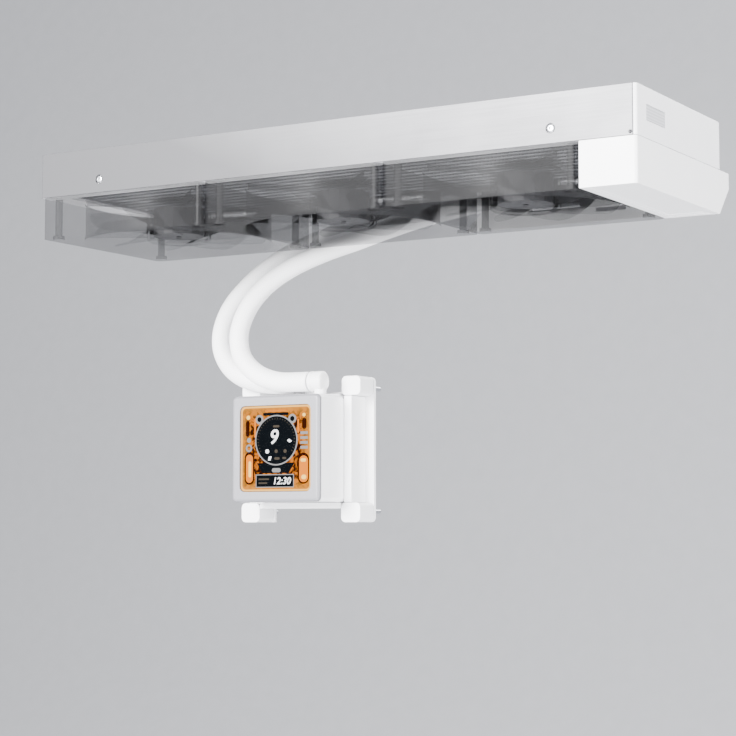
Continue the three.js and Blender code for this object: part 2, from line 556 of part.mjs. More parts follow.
function addCorner([x, z], number) {
  const [sx, sz] = [Math.sign(x), Math.sign(z)];
  const middle = (range) => (range[0] + range[1]) / 2;
  const half = (range) => (range[1] - range[0]) / 2;
  const centre = [sx * middle(CAP.u), sz * middle(CAP.v)];
  const cap = roundedSlab('y', half(CAP.u), half(CAP.v), 3, BAR_FRONT, BRACKET_FRONT - GAP, centre);
  const space = rod('y', 4.5, BAR_FRONT + 2, BRACKET_FRONT, [x, 0, z], 20);
  addPumpMesh(`screw_cap_${number}`, cut(cap, space), 'white');
  const head = BAR_FRONT + 2.4;
  const screw = turned('y', [
    [0, head + 1.4], [1.6, head], [3.8, head], [3.8, head + 3], [1.6, head + 3],
    [1.6, 96.4], [1, 97], [0, 97],
  ], [x, 0, z], 16);
  addPumpMesh(`mount_screw_${number}`, screw, 'steel');
  const springFront = head + 3 + SCREW_TRAVEL + 0.4;
  const spring = ring('y', 2.1, 3.9, springFront, BRACKET_FRONT - GAP, [x, 0, z], 16);
  addPumpMesh(`screw_spring_${number}`, spring, 'steel');
}

// ---- assembly --------------------------------------------------------------------------------
addRail('near_rail', -1);
addRail('far_rail', 1);
addTrimPlate();
addLeftTank();
addRightTank();
addCore();
addEndBlock();
addHoseCover();
addFans();
addHose('inner_hose', INNER_HOSE);
addHose('outer_hose', OUTER_HOSE);
addFittings();
addDisplay();
addPumpCover();
addPumpWorks();
addBracket();
SCREWS.forEach((place, i) => addCorner(place, i + 1));

export default cooler;
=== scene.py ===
import json
import math

import bmesh
import bpy
from mathutils import Matrix, Vector

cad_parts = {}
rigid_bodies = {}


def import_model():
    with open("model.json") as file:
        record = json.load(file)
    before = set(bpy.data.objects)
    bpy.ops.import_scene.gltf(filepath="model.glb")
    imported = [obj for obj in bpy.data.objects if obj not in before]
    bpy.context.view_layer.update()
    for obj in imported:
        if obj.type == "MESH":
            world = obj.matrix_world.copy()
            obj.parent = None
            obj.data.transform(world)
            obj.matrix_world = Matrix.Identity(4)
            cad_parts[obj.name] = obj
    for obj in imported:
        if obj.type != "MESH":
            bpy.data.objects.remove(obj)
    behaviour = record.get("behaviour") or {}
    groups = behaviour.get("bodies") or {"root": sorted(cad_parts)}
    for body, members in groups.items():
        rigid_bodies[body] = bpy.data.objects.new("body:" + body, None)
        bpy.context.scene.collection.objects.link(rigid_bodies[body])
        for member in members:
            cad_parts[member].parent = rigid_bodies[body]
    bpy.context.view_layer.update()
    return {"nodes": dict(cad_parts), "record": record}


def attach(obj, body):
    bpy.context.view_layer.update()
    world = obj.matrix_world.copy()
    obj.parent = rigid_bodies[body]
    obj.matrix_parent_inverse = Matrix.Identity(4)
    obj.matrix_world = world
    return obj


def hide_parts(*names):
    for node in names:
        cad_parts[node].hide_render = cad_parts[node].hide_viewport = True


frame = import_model()

# Closed-loop liquid cooler. Everything is in metres, in the CAD's frame; MM turns a size given in
# millimetres into metres.
MM = 0.001
TURN = 2 * math.pi
BODY_OF = {n: b for b, nodes in frame["record"]["behaviour"]["bodies"].items() for n in nodes}
SLOT_OF = {s["node"]: s["material_slot"] for s in frame["record"]["subparts"]}
UNIT = {"x": Vector((1, 0, 0)), "y": Vector((0, 1, 0)), "z": Vector((0, 0, 1))}

FAN_CENTRES = (-120, 0, 120)
FAN_HALF = 59.8
FAN_TOP, FAN_BOTTOM = -27.3, -52.3
FAN_HOLE = 52.5
HUB_R = 20
BLADES = 9
RAD_LEFT, RAIL_END = -180, 210.7
RAD_DEPTH = 27
SHEET = 1.2
FLANGE = 8.1
TRIM_SCREWS = [(-136, 0, -19), (164, 0, -19)]
DRAIN = (209.3, 0, -25.3)
PUMP = Vector((-71, 0, -179.3))


# ---- camera ------------------------------------------------------------------------------------
def add_camera():
    lens = bpy.data.cameras.new("camera")
    lens.lens, lens.sensor_width = 96.89, 36
    lens.clip_start, lens.clip_end = 0.05, 30
    camera = bpy.data.objects.new("camera", lens)
    camera.location = (0.60619, -0.99293, -0.22803)
    camera.rotation_euler = (math.radians(94.59), 0, math.radians(30.681))
    bpy.context.collection.objects.link(camera)
    bpy.context.scene.camera = camera


add_camera()


# ---- nodes and materials -----------------------------------------------------------------------
def linear(colour):
    """An sRGB hex colour as linear red, green, blue and 1."""
    parts = [int(colour[i:i + 2], 16) / 255 for i in (1, 3, 5)]
    return [p / 12.92 if p <= 0.04045 else ((p + 0.055) / 1.055) ** 2.4 for p in parts] + [1]


def add(mat, kind, settings=None, links=None):
    """A new node. A setting is one of its properties, or the value of the input of that name."""
    made = mat.node_tree.nodes.new(kind)
    for key, value in (settings or {}).items():
        if isinstance(key, str) and key in made.bl_rna.properties:
            setattr(made, key, value)
        else:
            made.inputs[key].default_value = value
    for key, socket in (links or {}).items():
        mat.node_tree.links.new(socket, made.inputs[key])
    return made


def surface(name, colour, roughness, settings=None):
    """A material with one Principled shader, and that shader."""
    mat = bpy.data.materials.new(name)
    mat.use_nodes = True
    shader = mat.node_tree.nodes["Principled BSDF"]
    shader.inputs["Base Color"].default_value = linear(colour)
    shader.inputs["Roughness"].default_value = roughness
    for key, value in (settings or {}).items():
        shader.inputs[key].default_value = value
    return mat, shader


PATCHES = 28  # broad patches of tone to the metre, one in about 36 mm
NOISE_LOW, NOISE_HIGH = 0.12, 0.42  # where most of two noises multiplied together lies


def grain(mat, shader, size, depth, colours, gloss, stretch=(1, 1, 1)):
    """Grain of that size and depth in mm, between two colours and two roughnesses."""
    link = mat.node_tree.links.new
    place = add(mat, "ShaderNodeTexCoord")
    turn = add(mat, "ShaderNodeMapping", {"Scale": stretch}, {"Vector": place.outputs["Object"]})
    fine = add(mat, "ShaderNodeTexNoise", {"Scale": 1 / (size * MM), "Detail": 3},
               {"Vector": turn.outputs[0]})
    broad = add(mat, "ShaderNodeTexNoise", {"Scale": PATCHES, "Detail": 2},
                {"Vector": place.outputs["Object"]})
    both = add(mat, "ShaderNodeMath", {"operation": "MULTIPLY"},
               {0: fine.outputs[0], 1: broad.outputs[0]})
    spread = add(mat, "ShaderNodeMapRange", {"From Min": NOISE_LOW, "From Max": NOISE_HIGH},
                 {"Value": both.outputs[0]})
    tint = add(mat, "ShaderNodeMix", {"data_type": "RGBA", 6: linear(colours[0]), 7: linear(colours[1])},
               {0: spread.outputs[0]})
    rough = add(mat, "ShaderNodeMapRange", {"To Min": gloss[0], "To Max": gloss[1]},
                {"Value": spread.outputs[0]})
    bump = add(mat, "ShaderNodeBump", {"Strength": 0.6, "Distance": depth * MM},
               {"Height": fine.outputs[0]})
    link(tint.outputs[2], shader.inputs["Base Color"])
    link(rough.outputs[0], shader.inputs["Roughness"])
    link(bump.outputs[0], shader.inputs["Normal"])
    return mat


def coated_steel():
    # Powder coat baked on folded sheet steel: a satin white with a shallow orange peel.
    mat, shader = surface("powder_coated_steel", "#f1f1f3", 0.42)
    return grain(mat, shader, 0.9, 0.012, ("#f4f4f6", "#ebebee"), (0.36, 0.48))


def brushed_trim():
    # Aluminium strip, brushed along its length and anodised silver: faint long streaks, with painted
    # shade that darkens its colour evenly away from the block's end and towards the lower edge, in place of
    # lamp falloff.
    mat, shader = surface("brushed_anodised_aluminium_painted_shade", "#8c8c8f", 0.5, {"Metallic": 0.15})
    grain(mat, shader, 0.35, 0.003, ("#939396", "#89898c"), (0.46, 0.54), (0.01, 1, 1))
    place = add(mat, "ShaderNodeTexCoord")
    # Painted shade: how fast the strip's colour darkens along each axis, to the metre, and where it starts
    # and ends.
    painted_shade_rate = (-3.4, 0, -7.4)  # how fast the tone deepens along each axis, to the metre
    lightest, deepest = -0.7, 0.3
    painted_shade_slope = add(mat, "ShaderNodeVectorMath", {"operation": "DOT_PRODUCT", 1: painted_shade_rate},
                {0: place.outputs["Object"]})
    painted_shade_fall = add(mat, "ShaderNodeMapRange", {"From Min": lightest, "From Max": deepest},
               {"Value": painted_shade_slope.outputs["Value"]})
    streaks = shader.inputs["Base Color"].links[0].from_socket
    # Painted shade: the streaked silver is mixed towards this dark grey along that slope.
    painted_shade_mix = add(mat, "ShaderNodeMix", {"data_type": "RGBA", 7: linear("#414144")},
               {0: painted_shade_fall.outputs[0], 6: streaks})
    mat.node_tree.links.new(painted_shade_mix.outputs[2], shader.inputs["Base Color"])
    return mat


def moulded_white():
    # ABS moulded in a spark-eroded tool: white, satin, with a grain that takes the edge off gloss.
    mat, shader = surface("moulded_white_abs", "#f5f5f6", 0.42)
    return grain(mat, shader, 0.3, 0.006, ("#f7f7f8", "#f1f1f3"), (0.36, 0.46))


def polished_white():
    # Nylon fittings moulded in a polished tool: white and glossy, with slight flow marks.
    mat, shader = surface("polished_white_nylon", "#f6f6f7", 0.24)
    return grain(mat, shader, 2.5, 0.006, ("#f8f8f9", "#f3f3f4"), (0.2, 0.3))


def bezel_grey():
    # The same ABS in a mid grey that looks light under a strong lamp: slightly smoother, so the
    # frame stands off the white cover.
    mat, shader = surface("moulded_light_grey_abs", "#77777c", 0.38)
    return grain(mat, shader, 0.3, 0.004, ("#7b7b80", "#737378"), (0.32, 0.42))


FLOW_MARKS = 60  # to the metre, about 17 mm apart


def smoke(name, colour, alpha, roughness):
    # Polycarbonate tinted grey and moulded clear: what lies behind it shows through, dimmed.
    mat, shader = surface(name, colour, roughness, {"Alpha": alpha, "Specular IOR Level": 0.2})
    place = add(mat, "ShaderNodeTexCoord")
    flow = add(mat, "ShaderNodeTexNoise", {"Scale": FLOW_MARKS, "Detail": 2},
               {"Vector": place.outputs["Object"]})
    bump = add(mat, "ShaderNodeBump", {"Strength": 0.4, "Distance": 0.02 * MM},
               {"Height": flow.outputs[0]})
    mat.node_tree.links.new(bump.outputs[0], shader.inputs["Normal"])
    return mat


def fin_foil():
    # Rolled aluminium foil, folded and brazed: grey metal that the brazing flux has left dull.
    mat, shader = surface("brazed_aluminium_foil", "#7d7e81", 0.5, {"Metallic": 0.6})
    return grain(mat, shader, 1.2, 0.01, ("#85868a", "#747579"), (0.42, 0.6))


def plated_steel():
    # Zinc-plated screws and springs: cool bright metal with fine turning marks.
    mat, shader = surface("zinc_plated_steel", "#c6c8cc", 0.3, {"Metallic": 1})
    return grain(mat, shader, 0.4, 0.004, ("#cfd1d5", "#b4b6bb"), (0.24, 0.4))


def lapped_copper():
    # Copper ground flat on a belt: warm metal with fine parallel scratches.
    mat, shader = surface("ground_copper", "#d98a62", 0.28, {"Metallic": 1})
    return grain(mat, shader, 0.25, 0.004, ("#e39a72", "#cc7b55"), (0.2, 0.36), (0.02, 1, 1))


def coil_wire():
    # Enamelled copper wire wound in tight turns, 0.6 mm apart.
    mat, shader = surface("enamelled_copper_wire", "#b4622c", 0.3, {"Metallic": 1})
    place = add(mat, "ShaderNodeTexCoord")
    turns = add(mat, "ShaderNodeTexWave", {"wave_type": "RINGS", "rings_direction": "SPHERICAL",
                                           "Scale": TURN / 20 / (0.6 * MM)},
                {"Vector": place.outputs["Object"]})
    bump = add(mat, "ShaderNodeBump", {"Strength": 1, "Distance": 0.2 * MM}, {"Height": turns.outputs[1]})
    mat.node_tree.links.new(bump.outputs[0], shader.inputs["Normal"])
    return mat


def filled_nylon():
    # Glass-filled nylon: near black, with the dull mottling that the fibres leave.
    mat, shader = surface("glass_filled_nylon", "#202124", 0.5)
    return grain(mat, shader, 0.6, 0.01, ("#28292d", "#17181b"), (0.42, 0.6))


def seal_rubber():
    # Moulded nitrile rubber: black and matt.
    mat, shader = surface("nitrile_rubber", "#1b1b1c", 0.75)
    return grain(mat, shader, 0.5, 0.01, ("#222223", "#151516"), (0.68, 0.85))


WIPE_MARKS = 90  # to the metre, about 11 mm apart


def cover_glass():
    # A thin sheet of coated glass: all but clear, with a weak soft reflection.
    mat, shader = surface("coated_cover_glass", "#0c0d10", 0.12, {"Specular IOR Level": 0.2, "Alpha": 0.05})
    place = add(mat, "ShaderNodeTexCoord")
    wipe = add(mat, "ShaderNodeTexNoise", {"Scale": WIPE_MARKS, "Detail": 3},
               {"Vector": place.outputs["Object"]})
    haze = add(mat, "ShaderNodeMapRange", {"To Min": 0.08, "To Max": 0.18}, {"Value": wipe.outputs[0]})
    mat.node_tree.links.new(haze.outputs[0], shader.inputs["Roughness"])
    return mat


def circuit_board():
    # Glass epoxy under green solder resist, with copper tracks 1.5 mm apart showing as a lighter green.
    mat, shader = surface("solder_resist_on_epoxy", "#1f5c38", 0.4)
    place = add(mat, "ShaderNodeTexCoord")
    tracks = add(mat, "ShaderNodeTexBrick", {"Scale": 1 / (3 * MM), "Mortar Size": 0.06,
                                             "Color1": linear("#174c2c"), "Color2": linear("#1d5834"),
                                             "Mortar": linear("#3f8a55")},
                 {"Vector": place.outputs["Object"]})
    mat.node_tree.links.new(tracks.outputs[0], shader.inputs["Base Color"])
    return mat


def paper_label():
    # Matt silver-grey foil paper, with faint rows of blank bars.
    mat, shader = surface("matt_foil_paper", "#b9babe", 0.55)
    place = add(mat, "ShaderNodeTexCoord")
    turn = add(mat, "ShaderNodeMapping", {"Rotation": (0, math.pi / 2, 0)},
               {"Vector": place.outputs["Object"]})
    rows = add(mat, "ShaderNodeTexWave", {"bands_direction": "X", "Scale": TURN / 20 / (1.6 * MM)},
               {"Vector": turn.outputs[0]})
    tint = add(mat, "ShaderNodeMix", {"data_type": "RGBA", 6: linear("#a9aaae"), 7: linear("#c3c4c8")},
               {0: rows.outputs[1]})
    mat.node_tree.links.new(tint.outputs[2], shader.inputs["Base Color"])
    return mat


THREAD = 1.3  # mm between the sleeve's threads, drawn about twice as coarse as real so that it shows


def woven_sleeve():
    # Polyester yarn braided over the hose: white and soft, with a fine diagonal over-and-under, and painted
    # shade that makes each thread slightly darker where the weave dips.
    mat, shader = surface("braided_polyester_sleeve", "#f9f9fa", 0.6, {"Sheen Weight": 0.25})
    link = mat.node_tree.links.new
    place = add(mat, "ShaderNodeTexCoord")
    turn = add(mat, "ShaderNodeMapping", {"Rotation": (0, 0, math.pi / 4),
                                          "Scale": [1 / (THREAD * MM)] * 3}, {"Vector": place.outputs["UV"]})
    bands = [add(mat, "ShaderNodeTexWave", {"bands_direction": way, "Scale": TURN / 20},
                 {"Vector": turn.outputs[0]}) for way in ("X", "Y")]
    over = add(mat, "ShaderNodeTexChecker", {"Scale": 1}, {"Vector": turn.outputs[0]})
    height = add(mat, "ShaderNodeMix", {"data_type": "FLOAT"},
                 {0: over.outputs[1], 2: bands[0].outputs[1], 3: bands[1].outputs[1]})
    # Painted shade: the sleeve's colour follows the weave's height, a little darker where it dips.
    tint = add(mat, "ShaderNodeMix", {"data_type": "RGBA", 6: linear("#efeff1"), 7: linear("#fdfdfe")},
               {0: height.outputs[0]})
    bump = add(mat, "ShaderNodeBump", {"Strength": 0.5, "Distance": 0.12 * MM}, {"Height": height.outputs[0]})
    link(tint.outputs[2], shader.inputs["Base Color"])
    link(bump.outputs[0], shader.inputs["Normal"])
    return mat


def glow(name, colour, strength):
    # Lit dots behind the glass: an even colour, with the dots 0.25 mm apart only just showing.
    mat, shader = surface(name, "#000000", 0.6, {"Specular IOR Level": 0})
    place = add(mat, "ShaderNodeTexCoord")
    cells = add(mat, "ShaderNodeTexWave", {"bands_direction": "Z", "Scale": TURN / 20 / (0.25 * MM)},
                {"Vector": place.outputs["Object"]})
    dim = add(mat, "ShaderNodeMapRange", {"To Min": 0.9, "To Max": 1}, {"Value": cells.outputs[1]})
    lit = add(mat, "ShaderNodeMix", {"data_type": "RGBA", 6: (0, 0, 0, 1), 7: linear(colour)},
              {0: dim.outputs[0]})
    mat.node_tree.links.new(lit.outputs[2], shader.inputs["Emission Color"])
    shader.inputs["Emission Strength"].default_value = strength
    return mat


def amber_panel():
    # Colour display lit behind its glass: a mottled amber field that glows brightest at its edges.
    mat, shader = surface("lit_amber_display", "#000000", 0.6, {"Specular IOR Level": 0})
    link = mat.node_tree.links.new
    place = add(mat, "ShaderNodeTexCoord")
    unit = 1 / (26 * MM)
    middle = add(mat, "ShaderNodeMapping", {"Scale": (unit, unit, unit),
                                            "Location": [-c * MM * unit for c in PUMP]},
                 {"Vector": place.outputs["Object"]})
    axes = add(mat, "ShaderNodeSeparateXYZ", None, {0: middle.outputs[0]})
    sizes = [add(mat, "ShaderNodeMath", {"operation": "ABSOLUTE"}, {0: axes.outputs[i]}) for i in (0, 2)]
    out = add(mat, "ShaderNodeMath", {"operation": "MAXIMUM"},
              {0: sizes[0].outputs[0], 1: sizes[1].outputs[0]})
    rim = add(mat, "ShaderNodeMapRange", {"From Min": 0.7, "From Max": 1.02, "To Max": 0.85},
              {"Value": out.outputs[0]})
    mottle = add(mat, "ShaderNodeTexNoise", {"Scale": 1 / (4 * MM), "Detail": 4, "Distortion": 1.2},
                 {"Vector": place.outputs["Object"]})
    sharp = add(mat, "ShaderNodeMapRange", {"From Min": 0.45, "From Max": 0.6}, {"Value": mottle.outputs[0]})
    shades = add(mat, "ShaderNodeMix", {"data_type": "RGBA", 6: linear("#2b0d02"), 7: linear("#e87f1c")},
                 {0: sharp.outputs[0]})
    lit = add(mat, "ShaderNodeMix", {"data_type": "RGBA", 7: linear("#ffa63c")},
              {0: rim.outputs[0], 6: shades.outputs[2]})
    link(lit.outputs[2], shader.inputs["Emission Color"])
    shader.inputs["Emission Strength"].default_value = 1.7
    return mat


def potted_winding():
    # Motor windings potted in grey resin: matt and slightly uneven, so the fan's middle stays quiet.
    mat, shader = surface("resin_potted_winding", "#3c3c3e", 0.6, {"Specular IOR Level": 0.2})
    return grain(mat, shader, 3, 0.05, ("#404042", "#38383a"), (0.55, 0.7))


ENAMEL, TRIM, WHITE, GLOSS = coated_steel(), brushed_trim(), moulded_white(), polished_white()
BEZEL, FOIL, STEEL, COPPER = bezel_grey(), fin_foil(), plated_steel(), lapped_copper()
WIRE, NYLON, RUBBER, GLASS = coil_wire(), filled_nylon(), seal_rubber(), cover_glass()
BOARD, LABEL, SLEEVE, AMBER = circuit_board(), paper_label(), woven_sleeve(), amber_panel()
MOTOR = potted_winding()
SMOKE_FRAME = smoke("smoke_tinted_polycarbonate", "#18181a", 0.3, 0.45)
SMOKE_ROTOR = smoke("smoke_tinted_polycarbonate_blades", "#1c1c1e", 0.11, 0.5)


# ---- modelling tools ---------------------------------------------------------------------------
def take(obj):
    """Only this object is selected and active."""
    for other in bpy.context.view_layer.objects:
        other.select_set(other is obj)
    bpy.context.view_layer.objects.active = obj
    return obj


def edit(obj, *steps):
    """Runs steps in edit mode, each a function that takes the object's bmesh for selecting."""
    take(obj)
    bpy.ops.object.mode_set(mode="EDIT")
    bpy.ops.mesh.select_mode(type="FACE")
    for step in steps:
        mesh = bmesh.from_edit_mesh(obj.data)
        mesh.faces.ensure_lookup_table()
        step(mesh)
    bpy.ops.object.mode_set(mode="OBJECT")
    return obj


def pick(mesh, faces=None, edges=None):
    """Selects the faces, or the edges, that pass the test."""
    bpy.ops.mesh.select_mode(type="FACE" if faces else "EDGE")
    bpy.ops.mesh.select_all(action="DESELECT")
    for part in (mesh.faces if faces else mesh.edges):
        part.select_set((faces or edges)(part))
    mesh.select_flush_mode()


def block(name, low, high):
    """A cube primitive at its size and place, corners in mm."""
    low, high = Vector(low) * MM, Vector(high) * MM
    bpy.ops.mesh.primitive_cube_add(size=1, location=(low + high) / 2)
    obj = bpy.context.active_object
    obj.name, obj.scale = name, high - low
    take(obj)
    bpy.ops.object.transform_apply()
    return obj


def cylinder(name, axis, radius, start, end, centre, sides=48):
    """A cylinder primitive along an axis, sizes in mm."""
    middle = Vector([start / 2 + end / 2 if a == axis else c for a, c in zip("xyz", centre)])
    turn = {"x": (0, math.pi / 2, 0), "y": (math.pi / 2, 0, 0), "z": (0, 0, 0)}[axis]
    bpy.ops.mesh.primitive_cylinder_add(vertices=sides, radius=radius * MM, depth=abs(end - start) * MM,
                                        location=middle * MM, rotation=turn)
    obj = take(bpy.context.active_object)
    obj.name = name
    bpy.ops.object.transform_apply()
    return obj


def drawn(name, points, face=False):
    """A drawn outline: points in mm joined by edges, closed with a face if asked."""
    data = bpy.data.meshes.new(name)
    count = len(points)
    edges = [] if face else [(i, i + 1) for i in range(count - 1)]
    data.from_pydata([Vector(p) * MM for p in points], edges, [list(range(count))] if face else [])
    obj = bpy.data.objects.new(name, data)
    bpy.context.collection.objects.link(obj)
    return take(obj)


def turned(name, axis, profile, centre, sides=64):
    """A profile of (radius, height) in mm, spun about an axis."""
    across = {"x": "y", "y": "z", "z": "x"}[axis]
    points = [Vector(centre) + UNIT[across] * r + UNIT[axis] * h for r, h in profile]
    obj = drawn(name, points)

    def spin(mesh):
        bpy.ops.mesh.select_all(action="SELECT")
        bpy.ops.mesh.spin(steps=sides, angle=TURN, center=Vector(centre) * MM, axis=UNIT[axis])
        bpy.ops.mesh.select_all(action="SELECT")
        bpy.ops.mesh.remove_doubles(threshold=0.002 * MM)
        bpy.ops.mesh.normals_make_consistent(inside=False)

    return edit(obj, spin)


def pushed(name, outline, way):
    """A flat outline in mm, extruded along a vector in mm."""
    obj = drawn(name, outline, face=True)

    def extrude(mesh):
        bpy.ops.mesh.select_all(action="SELECT")
        bpy.ops.mesh.extrude_region_move(TRANSFORM_OT_translate={"value": Vector(way) * MM})
        bpy.ops.mesh.select_all(action="SELECT")
        bpy.ops.mesh.normals_make_consistent(inside=False)

    return edit(obj, extrude)


def modify(obj, kind, **settings):
    """Adds a modifier with its settings and applies it."""
    take(obj)
    made = obj.modifiers.new(kind.lower(), kind)
    for key, value in settings.items():
        setattr(made, key, value)
    bpy.ops.object.modifier_apply(modifier=made.name)
    return obj


def soften(obj, width, segments=2, angle=30, smooth=35):
    """Rounds every edge sharper than the angle, by a width in mm, and shades it smooth, with the
    large faces kept flat."""
    modify(obj, "BEVEL", width=width * MM, segments=segments, limit_method="ANGLE",
           angle_limit=math.radians(angle), use_clamp_overlap=True)
    take(obj)
    bpy.ops.object.shade_smooth_by_angle(angle=math.radians(smooth))
    return modify(obj, "WEIGHTED_NORMAL", keep_sharp=True)


def boolean(obj, tool, operation="DIFFERENCE"):
    """Cuts a tool from the object, or adds it, and removes the tool."""
    modify(obj, "BOOLEAN", object=tool, operation=operation, solver="EXACT")
    bpy.data.objects.remove(tool)
    return obj


def gather(name, objects):
    """Joins objects into one."""
    take(objects[0])
    for obj in objects:
        obj.select_set(True)
    bpy.ops.object.join()
    objects[0].name = name
    return objects[0]


def copy_of(obj, name, move=(0, 0, 0), turn=None):
    """A copy with its own mesh, turned about the origin and then moved by mm."""
    twin = bpy.data.objects.new(name, obj.data.copy())
    bpy.context.collection.objects.link(twin)
    if turn:
        twin.data.transform(turn)
    twin.data.transform(Matrix.Translation(Vector(move) * MM))
    return twin


def from_cad(node, name=None):
    """A merged copy of a CAD node, with its flat faces whole again."""
    twin = copy_of(frame["nodes"][node], name or node + "_finished")

    def clean(mesh):
        bpy.ops.mesh.select_all(action="SELECT")
        bpy.ops.mesh.remove_doubles(threshold=0.005 * MM)
        bpy.ops.mesh.dissolve_limited(angle_limit=math.radians(0.5))

    return edit(twin, clean)


def finish(obj, mat, body, nodes=()):
    """Material, body, slot and the CAD nodes that the piece stands for."""
    obj.data.materials.clear()
    obj.data.materials.append(mat)
    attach(obj, body)
    if nodes:
        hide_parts(*nodes)
    return obj


def stand_in(obj, mat, *nodes):
    """Finishes a piece that replaces CAD nodes, with their body."""
    return finish(obj, mat, BODY_OF[nodes[0]], nodes)


# ---- hoses -------------------------------------------------------------------------------------
INNER_HOSE = [
    (167.7, 67.4, -33.4), (150, 67.4, -33.4), (120, 67.4, -32.8), (90, 67.4, -32), (56, 67.4, -31.8),
    (20, 67.4, -36.6), (-8, 67.2, -42.6), (-30, 67, -48.2), (-55, 66.8, -54.2), (-79, 64.6, -63),
    (-96, 61, -74.2), (-106.4, 56.6, -88.4), (-109.8, 52, -105), (-104.6, 48.4, -120.4),
    (-92.8, 46.8, -131), (-78, 47.6, -136.6), (-53.9, 48.6, -137.6),
]
OUTER_HOSE = [
    (177.7, 66.9, -14), (150, 67, -14.2), (110, 67.8, -15.4), (70, 69.8, -17.8), (35, 73, -22.2),
    (0, 76, -30), (-30, 76, -36.2), (-54, 75.6, -42.2), (-77, 75, -48.8), (-100, 73.2, -59.8),
    (-117, 71, -73), (-127.6, 68.2, -86), (-131.4, 64.4, -100), (-129.6, 61.2, -112),
    (-122.8, 58.4, -122.8), (-113.5, 57, -130.4), (-101.5, 57, -135.4), (-88, 60.8, -137.4),
    (-73.2, 62, -137.6),
]
HOSE_R = 6.1


def smooth_route(points, per_span=18):
    """Centripetal Catmull-Rom curve through the points, in mm."""
    p = [Vector(q) for q in points]
    p = [p[0] * 2 - p[1]] + p + [p[-1] * 2 - p[-2]]
    route = []
    for a, b, c, d in zip(p, p[1:], p[2:], p[3:]):
        t0, t1, t2 = (math.sqrt((v - u).length) for u, v in ((a, b), (b, c), (c, d)))
        m1 = ((b - a) / t0 - (c - a) / (t0 + t1) + (c - b) / t1) * t1
        m2 = ((c - b) / t1 - (d - b) / (t1 + t2) + (d - c) / t2) * t1
        for i in range(per_span):
            t = i / per_span
            route.append(b * (2 * t ** 3 - 3 * t ** 2 + 1) + m1 * (t ** 3 - 2 * t ** 2 + t)
                         + c * (3 * t ** 2 - 2 * t ** 3) + m2 * (t ** 3 - t ** 2))
    return route + [p[-2]]


def hose_mesh(name, route, sides=40):
    """A closed tube along a route, with a UV map in metres: along the hose, then around it."""
    mesh = bmesh.new()
    uv = mesh.loops.layers.uv.new("UVMap")
    side = Vector((0, 0, 1))
    rings, along = [], [0]
    for i, point in enumerate(route):
        ahead = (route[min(i + 1, len(route) - 1)] - route[max(i - 1, 0)]).normalized()
        side = (side - ahead * side.dot(ahead)).normalized()
        other = ahead.cross(side)
        angles = [k / sides * TURN for k in range(sides)]
        rings.append([mesh.verts.new((point + (side * math.cos(t) + other * math.sin(t)) * HOSE_R) * MM)
                      for t in angles])
        if i:
            along.append(along[-1] + (point - route[i - 1]).length * MM)
    width = TURN * HOSE_R * MM
    for i, (first, second) in enumerate(zip(rings, rings[1:])):
        for k in range(sides):
            n = (k + 1) % sides
            face = mesh.faces.new((first[k], first[n], second[n], second[k]))
            face.smooth = True
            for loop, (u, v) in zip(face.loops, ((i, k), (i, k + 1), (i + 1, k + 1), (i + 1, k))):
                loop[uv].uv = (along[u], v / sides * width)
    mesh.faces.new(list(reversed(rings[0])))
    mesh.faces.new(rings[-1])
    bmesh.ops.recalc_face_normals(mesh, faces=mesh.faces)
    data = bpy.data.meshes.new(name)
    mesh.to_mesh(data)
    obj = bpy.data.objects.new(name, data)
    bpy.context.collection.objects.link(obj)
    return obj


def add_hoses():
    for node, points in (("inner_hose", INNER_HOSE), ("outer_hose", OUTER_HOSE)):
        route = smooth_route(points)
        hose = hose_mesh(node + "_sleeved", route)
        stand_in(hose, SLEEVE, node)


# ---- fittings ----------------------------------------------------------------------------------
DOME = 1.8  # length of an elbow's domed end


def round_end(end, reach, radius, steps=10):
    """Profile points of a dome that ends at a height, for a lathe."""
    return [(radius * math.cos(t), end - reach + reach * math.sin(t))
            for t in (i / steps * math.pi / 2 for i in range(1, steps + 1))]


def elbow(name, open_end, end, y, z, spigot_x, way, reach):
    """A barrel with a grooved collar, a domed end and a spigot."""
    r = 6.3
    profile = [(0, open_end), (5.6, open_end), (r, open_end + 0.6), (r, open_end + 2.4),
               (r - 0.5, open_end + 2.7), (r - 0.5, open_end + 3.3), (r, open_end + 3.6), (r, end - DOME)]
    barrel = turned(name, "x", profile + round_end(end, DOME, r), (0, y, z))
    if way == "down":
        neck = turned("neck", "z", [(0, z), (3.8, z), (3.8, z - 6.9), (3.6, z - 7.4), (3.6, z - reach),
                                    (0, z - reach)], (spigot_x, y, 0), 48)
    else:
        neck = cylinder("neck", "y", 3.6, y - reach, y, (spigot_x, 0, z))
    return soften(boolean(barrel, neck, "UNION"), 0.25, 2, 40)


def add_fittings():
    stand_in(elbow("inner_elbow_moulded", -53.1, -42.3, 48.6, -137.6, -46.2, "down", 17), GLOSS,
             "inner_elbow")
    stand_in(elbow("outer_elbow_moulded", -72.3, -57.6, 62, -137.6, -61.6, "down", 17), GLOSS,
             "outer_elbow")
    stand_in(elbow("tank_elbow_moulded", 178, 194.6, 66.9, -14, 190, "near", 10), GLOSS, "tank_elbow")
    ferrule = turned("block_fitting_turned", "x", [
        (0, 168), (5.5, 168), (6.1, 168.6), (6.1, 170.5), (5.6, 170.8), (5.6, 171.6), (6.1, 171.9),
        (6.1, 177.6), (5, 179.9), (2.6, 180), (2.6, 188), (0, 188)], (0, 67.4, -33.4))
    stand_in(soften(ferrule, 0.2, 2, 40), GLOSS, "block_fitting")


# ---- radiator ----------------------------------------------------------------------------------
def holes(name, axis, radius, start, end, centres, sides=32):
    return gather(name, [cylinder(name, axis, radius, start, end, c, sides) for c in centres])


